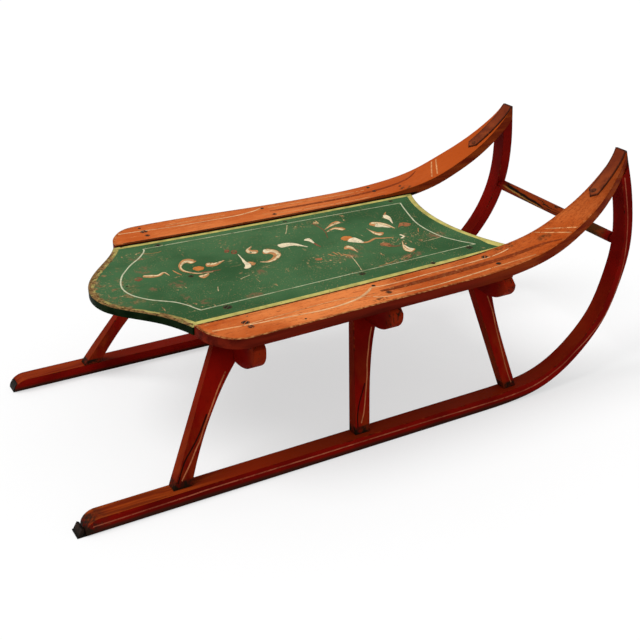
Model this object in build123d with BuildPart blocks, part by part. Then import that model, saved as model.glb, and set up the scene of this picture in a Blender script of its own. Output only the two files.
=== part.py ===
from build123d import *
from math import pi, sin
import os

os.makedirs("parts", exist_ok=True)

# Snow sled with a painted deck between two side rails, three crossbars on splayed legs,
# and two long steel-shod runners that rise in front to meet the rail tips.
# Millimetres. X runs forward, Y to the sled's left, Z up from the snow.

# Stations along the length
REAR_X = -201.0
MIDDLE_X = 9.0
FRONT_X = 199.0
RUNG_X = 453.7

# Runners
RUNNER_WIDTH = 26.8
RUNNER_DEPTH = 20.0
RUNNER_OUTER_Y = 217.6
RUNNER_TOE_IN = 0.014
RUNNER_LEAN = 0.157
SHOE_THICKNESS = 2.2
SHOE_WIDTH = 22.0
HEEL_LENGTH = 22.0
LIP_THICKNESS = 3.2
CURVE_STEPS = 10

# side, steel heel, gap to the wooden heel, height of the turned-up steel, its lean,
# thinning of the wood in the bend
RUNNER_TABLE = [
    ("right", -468.0, 12.0, 10.5, 7.5, 4.5),
    ("left", -434.0, 2.2, 14.0, 0.0, 2.0),
]

# Undersides of the noses: distance ahead of the rung, part of the tip's height
NOSE_START = -283.7
NOSE_TABLE = {
    "right": [(-215.0, 0.0076), (-153.2, 0.0468), (-107.8, 0.1166), (-51.2, 0.2510),
              (-13.0, 0.4229), (9.7, 0.5957), (13.0, 0.7315), (10.3, 0.8685)],
    "left": [(-215.0, 0.0076), (-153.2, 0.0430), (-105.8, 0.1091), (-43.7, 0.2560),
             (-6.5, 0.4145), (10.6, 0.5672), (14.6, 0.6835), (11.5, 0.8377)],
}
NOSE_TIP = (2.9, 343.8)
NOSE_END = (-0.15, 1.0)

# Rails
RAIL_TOP = 224.3
RAIL_THICKNESS = 14.4
RAIL_REAR_X = {"right": -263.0, "left": -258.5}
RAIL_CORNER_LENGTH = 52.0
RAIL_CORNER_WIDTH = 19.0
RAIL_TIP_INNER_Y = 133.0
RAIL_TIP_OUTER_Y = 157.2

# side, then half-widths of the inner edge at the rear, middle and front of the deck,
# and of the outer edge at the rounded corner, the middle, and where it starts to draw in
RAIL_TABLE = [
    ("right", 152.5, 149.7, 141.3, 223.6, 217.6, 205.3),
    ("left", 164.0, 146.5, 138.5, 224.4, 206.5, 197.5),
]

# Upswept front of the rails, from the rung: part of the rise reached by the top line,
# then the outer edge drawing in
RAIL_RISE_START = -320.0
RAIL_RISE = [(-253.7, 0.017), (-200.0, 0.057), (-152.0, 0.138), (-99.0, 0.317), (-65.0, 0.471),
             (-29.5, 0.703)]
RAIL_END = (0.50, 1.0)
RAIL_NARROW_START = -185.7
RAIL_NARROW = [(-110.7, 193.5), (-44.7, 177.5)]
RAIL_NARROW_SLOPE = 0.55
RAIL_CORNER_SLOPE = 0.05
RAIL_CORNER_AT = 0.30
SEAT_MARGIN = 2.0
STRAP_REAR = {"right": -62.7, "left": -70.7}
STRAP_POINT = 8.0

# Deck
DECK_THICKNESS = 11.0
DECK_GAP = 0.5
DECK_REAR_LEFT_X = -262.0
DECK_REAR_RIGHT_X = -265.0
DECK_REAR = [(-287.3, 124.8), (-313.8, 92.7), (-331.9, 65.9), (-343.5, 40.4), (-348.8, 12.0),
             (-343.5, -24.0), (-330.5, -47.4), (-308.8, -73.9), (-289.7, -98.4), (-273.4, -129.0)]
DECK_FRONT_LEFT_X = 257.0
DECK_FRONT_RIGHT_X = 268.5
DECK_FRONT_HOLLOW = (230.6, 12.0)

# Crossbars
BAR_THICKNESS = 18.0
BAR_HALF_LENGTH = 221.0
BAR_CORNER_TOP = 8.0
# name, station, depth, length and height of the rounded lower corner
BAR_TABLE = [
    ("rear", REAR_X, 51.0, 58.0, 35.0),
    ("middle", MIDDLE_X, 43.0, 52.0, 31.0),
    ("front", FRONT_X, 36.0, 46.0, 27.0),
]

# Legs
LEG_THICKNESS = 18.0
LEG_SPLAY = 0.366
LEG_WAIST_AT = 0.42
LEG_FLARE_AT = 0.78
LEG_FLARE = 0.38
FACET_REAR_AT = 0.21
FACET_FRONT_AT = 0.60
# name, side, crossbar, rear edge at the foot from the crossbar, lean along the sled,
# widths at foot, waist and top, part of the crossbar's depth that the leg climbs behind it,
# depth of the facet carved on the outer face
LEG_TABLE = [
    ("rear_right", "right", "rear", -129.0, 81.6, 26.0, 22.5, 39.0, 1.0, 5.5),
    ("rear_left", "left", "rear", -117.6, 81.6, 26.0, 22.5, 39.0, 1.0, 5.5),
    ("middle_right", "right", "middle", -58.9, 30.1, 23.0, 24.0, 37.5, 1.0, 4.5),
    ("middle_left", "left", "middle", -58.9, 30.1, 23.0, 24.0, 37.5, 1.0, 4.5),
    ("front_right", "right", "front", 14.4, -26.2, 20.5, 21.5, 32.0, 0.0, 0.0),
    ("front_left", "left", "front", 14.4, -26.2, 20.5, 21.5, 32.0, 0.0, 0.0),
]

# Front rung
RUNG_Z = 199.0
RUNG_DIAMETER = 17.0
RUNG_NECK_DIAMETER = 11.0
RUNG_NECK_LENGTH = 10.0
RUNG_TENON = 14.0

# Dependent sizes
SIDES = {"right": -1, "left": 1}
RAIL_UNDER = RAIL_TOP - RAIL_THICKNESS
WIDE = 2 * RUNNER_OUTER_Y
LONG = 4 * RUNG_X
NOSE_TIP_AT = (RUNG_X + NOSE_TIP[0], NOSE_TIP[1])
RAIL_TIP_AT = (NOSE_TIP_AT[0] - SHOE_THICKNESS, NOSE_TIP_AT[1] - SHOE_THICKNESS)


def runner_inner_y(x, z):
    return RUNNER_OUTER_Y - RUNNER_WIDTH - RUNNER_TOE_IN * x - RUNNER_LEAN * z


def from_rung(points, low=0.0, rise=1.0):
    return [(RUNG_X + x, low + rise * part) for x, part in points]


def curve_points(through, end_direction, inset, thinning=0.0):
    # points beside a curve that starts level, moved square to it by inset, less at mid-length
    curve = Edge.make_spline([Vector(*at) for at in through],
                             tangents=[Vector(1, 0), Vector(*end_direction)])
    found = []
    for step in range(CURVE_STEPS + 1):
        at = curve.position_at(step / CURVE_STEPS)
        along = curve.tangent_at(step / CURVE_STEPS)
        reach = inset - thinning * sin(pi * step / CURVE_STEPS) ** 2
        found.append((at.X - reach * along.Y, at.Y + reach * along.X))
    return found


def nose(side, inset, thinning=0.0):
    through = from_rung([(NOSE_START, 0), *NOSE_TABLE[side]], rise=NOSE_TIP[1]) + [NOSE_TIP_AT]
    return curve_points(through, NOSE_END, inset, thinning)


def rail_curve(inset):
    rise = RAIL_TIP_AT[1] - RAIL_TOP
    through = from_rung([(RAIL_RISE_START, 0), *RAIL_RISE], RAIL_TOP, rise) + [RAIL_TIP_AT]
    return curve_points(through, RAIL_END, inset)


def inner_edge(side, inset=0.0):
    # points of a rail's inner edge, moved toward the middle of the sled by inset
    _, rear, middle, front, *_ = [row for row in RAIL_TABLE if row[0] == side][0]
    front_x = (DECK_FRONT_LEFT_X + DECK_FRONT_RIGHT_X) / 2
    return [(x, SIDES[side] * (y - inset)) for x, y in
            [(RAIL_REAR_X[side], rear), (MIDDLE_X, middle), (front_x, front),
             (NOSE_TIP_AT[0] + RUNNER_DEPTH, RAIL_TIP_INNER_Y)]]


# Side view of the space above the rails' underside, used to trim the runner tips
with BuildPart() as above_rail:
    with BuildSketch(Plane.XZ) as above_face:
        with BuildLine():
            under_line = Spline(*rail_curve(-RAIL_THICKNESS), tangents=[(1, 0), RAIL_END])
            under_end = under_line @ 1
            Polyline(under_end, (under_end.X, under_end.Y + RAIL_TOP),
                     ((under_line @ 0).X, under_end.Y + RAIL_TOP), under_line @ 0)
        make_face()
    extrude(amount=WIDE, both=True)

runners = {}
below_runner = {}
for side, steel_heel, heel_gap, turn_up, lean, thinning in RUNNER_TABLE:
    sign = SIDES[side]
    wood_heel = steel_heel + heel_gap
    # Runner, a board between two planes that lean in toward the top
    board_face = Plane(origin=(0, sign * RUNNER_OUTER_Y, 0), x_dir=(1, -sign * RUNNER_TOE_IN, 0),
                       z_dir=(RUNNER_TOE_IN, sign, RUNNER_LEAN))
    shoe_inset = (RUNNER_WIDTH - SHOE_WIDTH) / 2
    shoe_face = Plane(origin=(0, sign * (RUNNER_OUTER_Y - shoe_inset), 0), x_dir=board_face.x_dir,
                      z_dir=board_face.z_dir)
    inward = (0, -sign, 0)

    with BuildPart() as runner:
        with BuildSketch(Plane.XZ):
            with BuildLine():
                low = Spline(*nose(side, SHOE_THICKNESS), tangents=[(1, 0), NOSE_END])
                high = Spline(*nose(side, RUNNER_DEPTH, thinning), tangents=[(1, 0), NOSE_END])
                Line(low @ 1, high @ 1)
                EllipticalCenterArc((wood_heel + HEEL_LENGTH, SHOE_THICKNESS), HEEL_LENGTH,
                                    RUNNER_DEPTH - SHOE_THICKNESS, start_angle=90)
                Line((wood_heel + HEEL_LENGTH, RUNNER_DEPTH), high @ 0)
                Line((wood_heel, SHOE_THICKNESS), low @ 0)
            make_face()
        extrude(amount=WIDE, both=True)
        with BuildSketch(board_face):
            Rectangle(LONG, LONG)
        extrude(amount=RUNNER_WIDTH, dir=inward, mode=Mode.INTERSECT)
        add(above_rail.part, mode=Mode.SUBTRACT)
        with BuildSketch(Plane.XZ):
            with Locations((RUNG_X, RUNG_Z)):
                Circle(RUNG_NECK_DIAMETER / 2)
        extrude(amount=runner_inner_y(RUNG_X, RUNG_Z) + RUNG_TENON, both=True, mode=Mode.SUBTRACT)
    runner.part.label = f"runner_{side}"
    export_step(runner.part, f"parts/runner_{side}.step")
    runners[side] = runner.part

    # Side view of the space below the middle of the runner's depth, used to trim the legs
    with BuildPart() as below:
        with BuildSketch(Plane.XZ):
            with BuildLine():
                middle = Spline(*nose(side, RUNNER_DEPTH / 2), tangents=[(1, 0), NOSE_END])
                end_z = (middle @ 1).Y
                Polyline(middle @ 1, (LONG, end_z), (LONG, -LONG), (-LONG, -LONG),
                         (-LONG, RUNNER_DEPTH / 2), middle @ 0)
            make_face()
        extrude(amount=WIDE, both=True)
    below_runner[side] = below.part

    # Steel strap on the rail, the last of the shoe, with a pointed end
    with BuildPart() as strap:
        with BuildSketch(Plane.XZ):
            with BuildLine():
                on_rail = Spline(*rail_curve(0), tangents=[(1, 0), RAIL_END])
                over = Spline(*rail_curve(SHOE_THICKNESS), tangents=[(1, 0), RAIL_END])
                Line(on_rail @ 0, over @ 0)
                reach = (on_rail % 1) * SHOE_THICKNESS
                Polyline(on_rail @ 1, on_rail @ 1 + reach, over @ 1 + reach, over @ 1)
            make_face()
        extrude(amount=WIDE, both=True)
        with BuildSketch(shoe_face):
            Rectangle(LONG, LONG)
        extrude(amount=SHOE_WIDTH, dir=inward, mode=Mode.INTERSECT)
        with BuildSketch(Plane.XY):
            with BuildLine():
                point_x = RUNG_X + STRAP_REAR[side]
                point_z = RAIL_TOP + (RAIL_TIP_AT[1] - RAIL_TOP) * RAIL_RISE[-2][1]
                middle_y = sign * (runner_inner_y(point_x, point_z) + RUNNER_WIDTH / 2)
                Polyline((point_x, middle_y),
                         (point_x + STRAP_POINT, middle_y + SHOE_WIDTH / 2),
                         (point_x + STRAP_POINT, middle_y + LONG),
                         (point_x + LONG, middle_y + LONG),
                         (point_x + LONG, middle_y - LONG),
                         (point_x + STRAP_POINT, middle_y - LONG),
                         (point_x + STRAP_POINT, middle_y - SHOE_WIDTH / 2),
                         (point_x, middle_y))
            make_face()
        extrude(amount=LONG, mode=Mode.INTERSECT)

    # Steel shoe under the runner, up its nose and over the tip, its heel turned up
    with BuildPart() as shoe:
        with BuildSketch(Plane.XZ):
            with BuildLine():
                low = Spline(*nose(side, 0), tangents=[(1, 0), NOSE_END])
                high = Spline(*nose(side, SHOE_THICKNESS), tangents=[(1, 0), NOSE_END])
                Line(low @ 1, high @ 1)
                Polyline(low @ 0, (steel_heel, 0), (steel_heel, SHOE_THICKNESS), high @ 0)
            make_face()
            if lean > 0:
                # bent loose of the wood
                with BuildLine():
                    Polyline((steel_heel, 0), (steel_heel + lean, turn_up),
                             (steel_heel + lean + LIP_THICKNESS, turn_up - LIP_THICKNESS / 2),
                             (steel_heel + 2 * LIP_THICKNESS, 0), (steel_heel, 0))
                make_face()
            else:
                # wrapped round the heel of the wood
                with BuildLine():
                    heel_x = steel_heel + HEEL_LENGTH
                    EllipticalCenterArc((heel_x, 0), HEEL_LENGTH, RUNNER_DEPTH, start_angle=90)
                    Polyline((heel_x, RUNNER_DEPTH), (heel_x, 0), (steel_heel, 0))
                make_face()
                with BuildLine():
                    inner_x = wood_heel + HEEL_LENGTH
                    EllipticalCenterArc((inner_x, SHOE_THICKNESS), HEEL_LENGTH,
                                        RUNNER_DEPTH - SHOE_THICKNESS, start_angle=90)
                    Polyline((inner_x, RUNNER_DEPTH), (inner_x, SHOE_THICKNESS),
                             (wood_heel, SHOE_THICKNESS))
                make_face(mode=Mode.SUBTRACT)
                with Locations((steel_heel, turn_up)):
                    Rectangle(2 * HEEL_LENGTH, RUNNER_DEPTH, align=(Align.CENTER, Align.MIN),
                              mode=Mode.SUBTRACT)
        extrude(amount=WIDE, both=True)
        with BuildSketch(shoe_face):
            Rectangle(LONG, LONG)
        extrude(amount=SHOE_WIDTH, dir=inward, mode=Mode.INTERSECT)
        add(strap.part)
    shoe.part.label = f"shoe_{side}"
    export_step(shoe.part, f"parts/shoe_{side}.step")

    # Side view of the space ahead of the wooden nose, used to trim the rail's tip
    with BuildPart() as ahead_of_nose:
        with BuildSketch(Plane.XZ):
            with BuildLine():
                front_line = Spline(*nose(side, SHOE_THICKNESS), tangents=[(1, 0), NOSE_END])
                front_top = front_line @ 1
                Polyline(front_top, (front_top.X, front_top.Y + RAIL_TOP),
                         (front_top.X + RAIL_TOP, front_top.Y + RAIL_TOP),
                         (front_top.X + RAIL_TOP, (front_line @ 0).Y), front_line @ 0)
            make_face()
        extrude(amount=WIDE, both=True)

    # Rail, a flat board whose front third sweeps up and narrows to the runner's width
    outer_rear, outer_middle, outer_front = [row[4:] for row in RAIL_TABLE if row[0] == side][0]
    rear_x = RAIL_REAR_X[side]
    with BuildPart() as rail:
        with BuildSketch(Plane.XZ):
            with BuildLine():
                high = Spline(*rail_curve(0), tangents=[(1, 0), RAIL_END])
                low = Spline(*rail_curve(-RAIL_THICKNESS), tangents=[(1, 0), RAIL_END])
                Line(low @ 1, high @ 1)
                Polyline(high @ 0, (rear_x, RAIL_TOP), (rear_x, RAIL_UNDER), low @ 0)
            make_face()
            # thicker over the front crossbar, so that it seats flat
            seat_x = FRONT_X + BAR_THICKNESS / 2 + SEAT_MARGIN
            with Locations((seat_x, RAIL_UNDER)):
                Rectangle(seat_x - rear_x, RAIL_THICKNESS, align=(Align.MAX, Align.MIN))
        extrude(amount=WIDE, both=True)
        with BuildSketch(Plane.XY):
            with BuildLine():
                inner = Spline(*inner_edge(side))
                corner_x = rear_x + RAIL_CORNER_LENGTH
                Spline(inner @ 0,
                       (rear_x + RAIL_CORNER_AT * RAIL_CORNER_LENGTH,
                        sign * (outer_rear - RAIL_CORNER_WIDTH)),
                       (corner_x, sign * outer_rear),
                       tangents=[(-RAIL_CORNER_SLOPE, sign), (1, 0)])
                sweep_in = Spline((corner_x, sign * outer_rear), (MIDDLE_X, sign * outer_middle),
                                  (RUNG_X + RAIL_NARROW_START, sign * outer_front),
                                  *[(x, sign * y) for x, y in from_rung(RAIL_NARROW)],
                                  (NOSE_TIP_AT[0], sign * RAIL_TIP_OUTER_Y),
                                  tangents=[(1, 0), (1, -sign * RAIL_NARROW_SLOPE)])
                Polyline(sweep_in @ 1, ((inner @ 1).X, sign * RAIL_TIP_OUTER_Y), inner @ 1)
            make_face()
        extrude(amount=2 * RAIL_TOP, mode=Mode.INTERSECT)
        add(ahead_of_nose.part, mode=Mode.SUBTRACT)
    rail.part.label = f"rail_{side}"
    export_step(rail.part, f"parts/rail_{side}.step")

# Deck board between the rails, pointed at the rear and hollowed at the front
with BuildPart() as deck:
    with BuildSketch(Plane.XY.offset(RAIL_UNDER)):
        with BuildLine():
            left_edge = Spline(*inner_edge("left", DECK_GAP))
            right_edge = Spline(*inner_edge("right", DECK_GAP))
            Line(left_edge @ 1, right_edge @ 1)
            Polyline(left_edge @ 0, ((left_edge @ 0).X - LONG, (left_edge @ 0).Y),
                     ((left_edge @ 0).X - LONG, (right_edge @ 0).Y), right_edge @ 0)
        make_face()
        with BuildLine():
            left_rear, _, left_front, _ = inner_edge("left")
            right_rear, _, right_front, _ = inner_edge("right")
            corners = [(DECK_REAR_LEFT_X, left_rear[1]), (DECK_REAR_RIGHT_X, right_rear[1]),
                       (DECK_FRONT_RIGHT_X, right_front[1]), (DECK_FRONT_LEFT_X, left_front[1])]
            Spline(corners[0], *DECK_REAR, corners[1])
            ThreePointArc(corners[2], DECK_FRONT_HOLLOW, corners[3])
            Polyline(corners[1], (corners[1][0], -WIDE), (corners[2][0], -WIDE), corners[2])
            Polyline(corners[0], (corners[0][0], WIDE), (corners[3][0], WIDE), corners[3])
        make_face(mode=Mode.INTERSECT)
    extrude(amount=DECK_THICKNESS)
deck.part.label = "deck"
export_step(deck.part, "parts/deck.step")

# Crossbars on edge, their lower outer corners rounded
for name, station, depth, corner_length, corner in BAR_TABLE:
    with BuildPart() as crossbar:
        with BuildSketch(Plane.YZ.offset(station - BAR_THICKNESS / 2)):
            with BuildLine():
                base = RAIL_UNDER - depth
                for end in (1, -1):
                    tip_y = end * BAR_HALF_LENGTH
                    Line((end * (BAR_HALF_LENGTH - BAR_CORNER_TOP), RAIL_UNDER),
                         (tip_y, RAIL_UNDER - BAR_CORNER_TOP))
                    EllipticalCenterArc((tip_y - end * corner_length, base + corner),
                                        corner_length, corner, start_angle=270 if end > 0 else 180)
                    Line((tip_y, base + corner), (tip_y, RAIL_UNDER - BAR_CORNER_TOP))
                Line((corner_length - BAR_HALF_LENGTH, base),
                     (BAR_HALF_LENGTH - corner_length, base))
                Line((BAR_CORNER_TOP - BAR_HALF_LENGTH, RAIL_UNDER),
                     (BAR_HALF_LENGTH - BAR_CORNER_TOP, RAIL_UNDER))
            make_face()
        extrude(amount=BAR_THICKNESS)
    crossbar.part.label = f"crossbar_{name}"
    export_step(crossbar.part, f"parts/crossbar_{name}.step")

# Legs, splayed out to the runners and raked along the sled
for name, side, bar, foot_from_bar, lean, foot, waist, top, shoulder, facet in LEG_TABLE:
    sign = SIDES[side]
    bar_x, bar_depth = [row[1:3] for row in BAR_TABLE if row[0] == bar][0]
    foot_x = bar_x + foot_from_bar
    height = RAIL_UNDER - bar_depth - RUNNER_DEPTH
    rake = lean / height
    inner_y = runner_inner_y(foot_x, RUNNER_DEPTH)
    face = Plane(origin=(0, sign * inner_y, RUNNER_DEPTH), x_dir=(1, 0, 0),
                 z_dir=(0, sign, LEG_SPLAY))
    with BuildPart() as leg:
        with BuildSketch(Plane.XZ):
            with BuildLine():
                front_edge = Spline(
                    (foot_x + foot, RUNNER_DEPTH),
                    (foot_x + lean * LEG_WAIST_AT + waist, RUNNER_DEPTH + height * LEG_WAIST_AT),
                    (foot_x + lean * LEG_FLARE_AT + waist + LEG_FLARE * (top - waist),
                     RUNNER_DEPTH + height * LEG_FLARE_AT),
                    (foot_x + lean + top, RUNNER_DEPTH + height))
                top_of_leg = height + shoulder * bar_depth
                raised = [(foot_x + lean + top, RUNNER_DEPTH + top_of_leg)] if shoulder > 0 else []
                Polyline(front_edge @ 1, *raised,
                         (foot_x + rake * top_of_leg, RUNNER_DEPTH + top_of_leg),
                         (foot_x, RUNNER_DEPTH), (foot_x, SHOE_THICKNESS),
                         (foot_x + foot, SHOE_THICKNESS), front_edge @ 0)
            make_face()
            if shoulder > 0:
                # notched round the rear lower corner of the crossbar
                with Locations((bar_x - BAR_THICKNESS / 2, RUNNER_DEPTH + height)):
                    Rectangle(LONG, LONG, align=(Align.MIN, Align.MIN), mode=Mode.SUBTRACT)
        extrude(amount=WIDE, both=True)
        with BuildSketch(face):
            Rectangle(LONG, LONG)
        extrude(amount=LEG_THICKNESS, dir=(0, sign, 0), mode=Mode.INTERSECT)
        add(runners[side], mode=Mode.SUBTRACT)
        add(below_runner[side], mode=Mode.SUBTRACT)
        if facet > 0:
            # carved away above a line that climbs from the rear edge to the front edge
            outer_at = [Vector(foot_x + lean * part + ahead,
                               sign * (inner_y + LEG_THICKNESS - deep - LEG_SPLAY * height * part),
                               RUNNER_DEPTH + height * part)
                        for part, ahead, deep in
                        [(FACET_REAR_AT, 0, 0), (FACET_FRONT_AT, waist, 0), (1, 0, facet)]]
            across = (outer_at[1] - outer_at[0]).cross(outer_at[2] - outer_at[0])
            carve_face = Plane(origin=outer_at[0], x_dir=outer_at[1] - outer_at[0],
                               z_dir=across * (sign if across.Y > 0 else -sign))
            with BuildSketch(carve_face):
                Rectangle(LONG, LONG)
            extrude(amount=LEG_THICKNESS, mode=Mode.SUBTRACT)
    leg.part.label = f"leg_{name}"
    export_step(leg.part, f"parts/leg_{name}.step")

# Round front rung, stepped down at each end where it enters the runners
with BuildPart() as rung:
    reach = runner_inner_y(RUNG_X, RUNG_Z)
    with BuildSketch(Plane.XZ):
        with Locations((RUNG_X, RUNG_Z)):
            Circle(RUNG_DIAMETER / 2)
    extrude(amount=reach - RUNG_NECK_LENGTH, both=True)
    with BuildSketch(Plane.XZ):
        with Locations((RUNG_X, RUNG_Z)):
            Circle(RUNG_NECK_DIAMETER / 2)
    extrude(amount=reach + RUNG_TENON, both=True)
rung.part.label = "rung_front"
export_step(rung.part, "parts/rung_front.step")
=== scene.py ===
import math
import random
import bmesh
import bpy
from mathutils import Matrix, Vector
from mathutils.bvhtree import BVHTree


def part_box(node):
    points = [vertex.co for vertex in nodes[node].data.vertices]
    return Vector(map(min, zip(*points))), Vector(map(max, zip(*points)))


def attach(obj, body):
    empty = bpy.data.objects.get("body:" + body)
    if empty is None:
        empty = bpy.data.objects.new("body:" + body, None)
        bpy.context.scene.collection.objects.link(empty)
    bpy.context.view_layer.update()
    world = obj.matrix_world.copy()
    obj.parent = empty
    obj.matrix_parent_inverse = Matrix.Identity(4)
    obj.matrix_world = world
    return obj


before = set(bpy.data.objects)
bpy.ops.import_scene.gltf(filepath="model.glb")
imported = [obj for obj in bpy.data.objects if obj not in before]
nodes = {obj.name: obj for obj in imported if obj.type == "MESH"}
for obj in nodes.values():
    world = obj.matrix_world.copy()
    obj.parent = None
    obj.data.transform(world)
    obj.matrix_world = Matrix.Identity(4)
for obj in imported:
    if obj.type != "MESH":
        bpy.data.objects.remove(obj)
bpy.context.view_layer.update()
MM = 0.001
SIDES = {"right": -1, "left": 1}

# ---------------------------------------------------------------- paint colours, linear
GREEN, GREEN_DEEP = (0.054, 0.134, 0.052), (0.030, 0.084, 0.030)
# painted shade for the deck board's sides
GREEN_SIDE_SHADE, GREEN_SIDE_SHADE_DARK = (0.006, 0.014, 0.004), (0.0012, 0.0050, 0.0010)
SMUDGE, SCRATCH_PALE, SCRATCH_BROWN = (0.205, 0.100, 0.052), (0.62, 0.42, 0.20), (0.30, 0.130, 0.060)
ORANGE, ORANGE_DEEP, ORANGE_ARRIS = (0.730, 0.215, 0.056), (0.470, 0.088, 0.015), (0.46, 0.24, 0.085)
RAIL_SWEEP, RAIL_TIP, RAIL_PALE = (0.395, 0.062, 0.006), (0.135, 0.015, 0.002), (0.86, 0.36, 0.12)
RAIL_PORE, RAIL_FLECK, RAIL_GRIT = (0.230, 0.034, 0.007), (0.270, 0.046, 0.010), (0.150, 0.020, 0.003)
LEFT_RAIL, LEFT_SWEEP, RAIL_STAIN = (0.520, 0.100, 0.014), (0.330, 0.036, 0.003), (0.085, 0.034, 0.010)
# red of the frame on the rails' sides, painted darker as shade below the lit tops
SHADED_SIDE_RED, SHADED_SIDE_RED_DARK = (0.140, 0.011, 0.004), (0.055, 0.004, 0.002)
SHADED_SIDE_BROWN, SHADED_SIDE_BROWN_DARK = (0.250, 0.042, 0.006), (0.130, 0.012, 0.003)
# painted shade for the rails' inner sides, and a painted highlight for their arris
INNER_SIDE_SHADE, INNER_ARRIS_HIGHLIGHT = (0.010, 0.004, 0.002), (0.200, 0.034, 0.006)
RED, RED_DEEP = (0.195, 0.0036, 0.0012), (0.095, 0.0016, 0.0008)
RED_WORN, RED_ARRIS = (0.13, 0.040, 0.012), (0.22, 0.030, 0.006)
# painted light for the runners' faces that look up and back
RUNNER_TOP_LIT, RUNNER_HEEL_LIT, RUNNER_HEEL_LIT_DARK = (0.205, 0.018, 0.003), (0.330, 0.056, 0.007), (0.135, 0.016, 0.003)
# the first of these is painted light on the legs' rearward faces
LEG_REAR_LIT, LEG_GLOW, LEG_FOOT = (0.150, 0.014, 0.002), (0.215, 0.026, 0.003), (0.012, 0.006, 0.003)
HORN, HORN_CRACK, SOOT = (0.185, 0.015, 0.003), (0.016, 0.006, 0.003), (0.018, 0.010, 0.006)
RUNG_RUBBED, RUNG_CRACK, RUNG_SOIL = (0.220, 0.036, 0.006), (0.014, 0.008, 0.004), (0.040, 0.016, 0.004)
GOUGE, GOUGE_LIP = (0.008, 0.005, 0.003), (0.34, 0.19, 0.045)
WOOD, WOOD_DARK = (0.360, 0.200, 0.090), (0.120, 0.060, 0.024)
GREASE, RED_GREASE = (0.030, 0.012, 0.005), (0.020, 0.004, 0.002)
IRON, RUST, IRON_PIT = (0.0060, 0.0050, 0.0035), (0.022, 0.009, 0.005), (0.040, 0.016, 0.008)
STRAP, STRAP_DARK, STRAP_TIP = (0.250, 0.046, 0.008), (0.120, 0.020, 0.005), (0.140, 0.018, 0.004)
STRAP_EDGE, STRAP_PIT = (0.012, 0.005, 0.003), (0.035, 0.014, 0.007)
CREAM, SALMON, AMBER, UMBER = (0.86, 0.72, 0.48), (0.56, 0.25, 0.095), (0.58, 0.19, 0.045), (0.24, 0.090, 0.045)
CLAY, PALE = (0.38, 0.145, 0.060), (0.82, 0.61, 0.35)
YELLOW, YELLOW_DARK = (0.55, 0.48, 0.14), (0.36, 0.30, 0.085)
YELLOW_REAR, YELLOW_LEFT = (0.26, 0.215, 0.075), (0.30, 0.26, 0.075)
BAND_CHIP, BAND_WOOD, BAND_WOOD_DARK = (0.14, 0.095, 0.030), (0.30, 0.175, 0.070), (0.085, 0.042, 0.014)
# the last of these is painted shade where the rails stand above the deck
RIM_WOOD, RIM_WOOD_DARK, SEAM_SHADE = (0.30, 0.170, 0.062), (0.050, 0.024, 0.008), (0.030, 0.010, 0.004)

# directions in which a noise is drawn out, for the wood's grain
ALONG_X, ALONG_Y, ALONG_Z = (0.07, 1, 1), (1, 0.07, 1), (1, 1, 0.07)


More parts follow.
